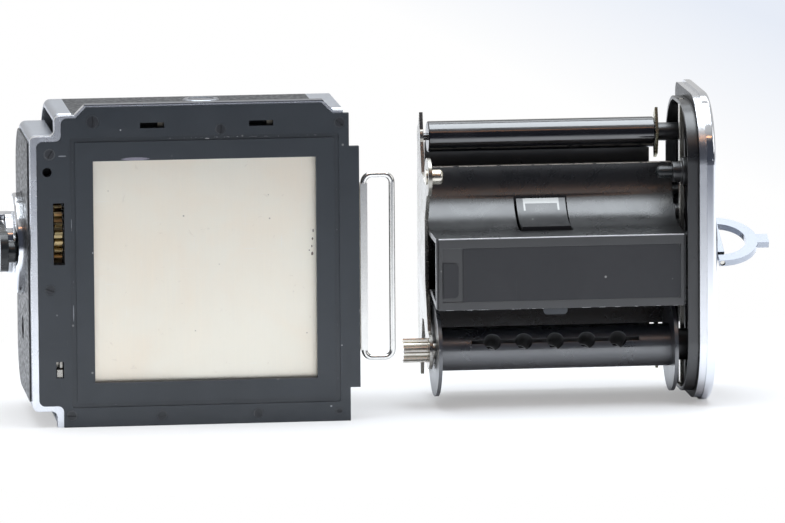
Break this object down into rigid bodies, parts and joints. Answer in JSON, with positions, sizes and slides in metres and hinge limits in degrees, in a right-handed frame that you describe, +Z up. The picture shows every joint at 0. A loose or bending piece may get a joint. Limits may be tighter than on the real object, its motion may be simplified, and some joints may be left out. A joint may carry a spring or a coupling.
{
  "type": "roll film magazine",
  "caption": "Roll film magazine for a medium format camera: stepped housing with dark slide and folding crank, and its film insert drawn out beside it with spools, rollers and end cover.",
  "frame": {"origin": "middle of the whole part's footprint, on the surface it stands on", "axes": "+X from the housing to the drawn-out insert, +Y from the camera face to the rear, +Z up"},
  "size_m": [0.2114, 0.051, 0.0872],
  "materials": {
    "black_paint": "semi-gloss black enamel over light alloy, worn at edges",
    "satin_chrome": "satin chromed light alloy",
    "bright_chrome": "polished chrome",
    "slide_steel": "fine brushed stainless, faintly stained",
    "covering": "pebbled black leatherette",
    "black_moulding": "matt black",
    "gloss_black": "glossy black enamel",
    "nickel": "nickel plate",
    "brass": "machined brass",
    "felt": "black felt",
    "window": "clear",
    "dial": "satin white enamel",
    "spring_steel": "spring steel"
  },
  "bodies": {
    "housing": {"front_plate": "black_paint", "front_frame": "satin_chrome", "plate_screws": "black_paint", "housing_shell": "black_paint", "covering": "covering", "mouth_band": "satin_chrome", "crank_casting": "satin_chrome", "side_covering": "covering", "gear_partition": "black_paint", "gate_rails": "satin_chrome", "slide_seal": "felt", "button_base": "satin_chrome", "crank_base": "bright_chrome", "gear_axles": "spring_steel", "counter_window": "window", "counter_reset_lever": "nickel"},
    "slide": {"dark_slide": "slide_steel", "slide_hem": "slide_steel", "slide_bail": "spring_steel"},
    "release": {"catch_bar": "spring_steel", "release_button": "satin_chrome"},
    "crank": {"crank_shaft": "spring_steel", "crank_hub": "bright_chrome", "lever_pin": "spring_steel", "timing_gear": "brass", "winding_gear": "brass"},
    "lever": {"crank_lever": "gloss_black", "crank_grip": "gloss_black"},
    "drive": {"drive_gear": "brass"},
    "counter": {"counter_dial": "dial"},
    "dial": {"reminder_dial": "bright_chrome"},
    "insert": {"cover_plate": "satin_chrome", "cover_rim": "bright_chrome", "cover_covering": "covering", "cover_lip": "black_paint", "insert_body": "black_paint", "cover_posts": "black_paint", "rear_panel": "black_paint", "name_plate": "gloss_black", "number_plate": "dial", "side_plate": "nickel", "roller_brackets": "nickel", "roller_posts": "black_paint", "supply_stud": "nickel", "spool_posts": "black_paint", "pressure_springs": "spring_steel", "finger_bracket": "spring_steel"},
    "key": {"key_disc": "bright_chrome", "bow_pin": "spring_steel", "latch_cam": "spring_steel"},
    "bow": {"key_bow": "bright_chrome"},
    "upper_bolt": {"upper_bolt": "spring_steel"},
    "lower_bolt": {"lower_bolt": "spring_steel"},
    "take_up": {"take_up_spool": "black_moulding", "take_up_pinion": "nickel"},
    "upper_roller": {"upper_roller": "gloss_black"},
    "lower_roller": {"lower_roller": "gloss_black"},
    "plunger": {"supply_plunger": "nickel"},
    "pressure": {"pressure_plate": "black_paint"},
    "finger": {"sensing_finger": "nickel"}
  },
  "joints": [
    {"name": "dark_slide_draw", "type": "slide", "parent": "housing", "child": "slide", "axis": [1, 0, 0], "range_m": [0, 0.072]},
    {"name": "button_slide", "type": "slide", "parent": "housing", "child": "release", "axis": [-1, 0, 0], "range_m": [0, 0.0035], "stiffness_N_per_m": 120},
    {"name": "crank_wind", "type": "hinge", "parent": "housing", "child": "crank", "pos_m": [-0.10318, 0.0015, 0.0466], "axis": [1, 0, 0], "continuous": true},
    {"name": "lever_fold", "type": "hinge", "parent": "crank", "child": "lever", "pos_m": [-0.10458, 0.009, 0.0466], "axis": [0, 0, -1], "range_deg": [0, 180]},
    {"name": "drive_spin", "type": "hinge", "parent": "housing", "child": "drive", "pos_m": [-0.09158, -0.0139, 0.0525], "axis": [1, 0, 0], "continuous": true},
    {"name": "counter_spin", "type": "hinge", "parent": "housing", "child": "counter", "pos_m": [-0.09798, 0.0015, 0.02], "axis": [1, 0, 0], "continuous": true},
    {"name": "insert_slide", "type": "slide", "parent": "housing", "child": "dial", "axis": [1, 0, 0], "range_m": [-0.097, 0]},
    {"name": "insert_roll", "type": "hinge", "parent": "dial", "child": "insert", "pos_m": [0.08353, 0.002, 0.0423], "axis": [1, 0, 0], "range_deg": [-180, 0]},
    {"name": "key_turn", "type": "hinge", "parent": "insert", "child": "key", "pos_m": [0.08833, 0.002, 0.0423], "axis": [1, 0, 0], "range_deg": [-90, 0]},
    {"name": "bow_fold", "type": "hinge", "parent": "key", "child": "bow", "pos_m": [0.09168, 0.002, 0.0423], "axis": [0, 0.9135, 0.4067], "range_deg": [-90, 0]},
    {"name": "upper_bolt_slide", "type": "slide", "parent": "insert", "child": "upper_bolt", "axis": [0, 0, 1], "range_m": [0, 0.0015]},
    {"name": "lower_bolt_slide", "type": "slide", "parent": "insert", "child": "lower_bolt", "axis": [0, 0, -1], "range_m": [0, 0.0015]},
    {"name": "take_up_spin", "type": "hinge", "parent": "insert", "child": "take_up", "pos_m": [0.01282, -0.004, 0.0153], "axis": [1, 0, 0], "continuous": true},
    {"name": "upper_roller_spin", "type": "hinge", "parent": "insert", "child": "upper_roller", "pos_m": [0.01362, 0.014, 0.0714], "axis": [1, 0, 0], "continuous": true},
    {"name": "lower_roller_spin", "type": "hinge", "parent": "insert", "child": "lower_roller", "pos_m": [0.01362, 0.014, 0.0132], "axis": [1, 0, 0], "continuous": true},
    {"name": "plunger_press", "type": "slide", "parent": "insert", "child": "plunger", "axis": [1, 0, 0], "range_m": [0, 0.0025], "stiffness_N_per_m": 300},
    {"name": "pressure_press", "type": "slide", "parent": "insert", "child": "pressure", "axis": [0, -1, 0], "range_m": [0, 0.0008], "stiffness_N_per_m": 800},
    {"name": "finger_press", "type": "hinge", "parent": "insert", "child": "finger", "pos_m": [0.04383, -0.0043, 0.0449], "axis": [-1, 0, 0], "range_deg": [0, 5], "stiffness_Nm_per_rad": 0.004}
  ],
  "couplings": [
    {"joint": "drive_spin", "follows": "crank_wind", "ratio": -0.65385},
    {"joint": "counter_spin", "follows": "crank_wind", "ratio": -0.076923},
    {"joint": "upper_bolt_slide", "follows": "key_turn", "m_per_rad": -0.00095493},
    {"joint": "lower_bolt_slide", "follows": "key_turn", "m_per_rad": -0.00095493}
  ]
}
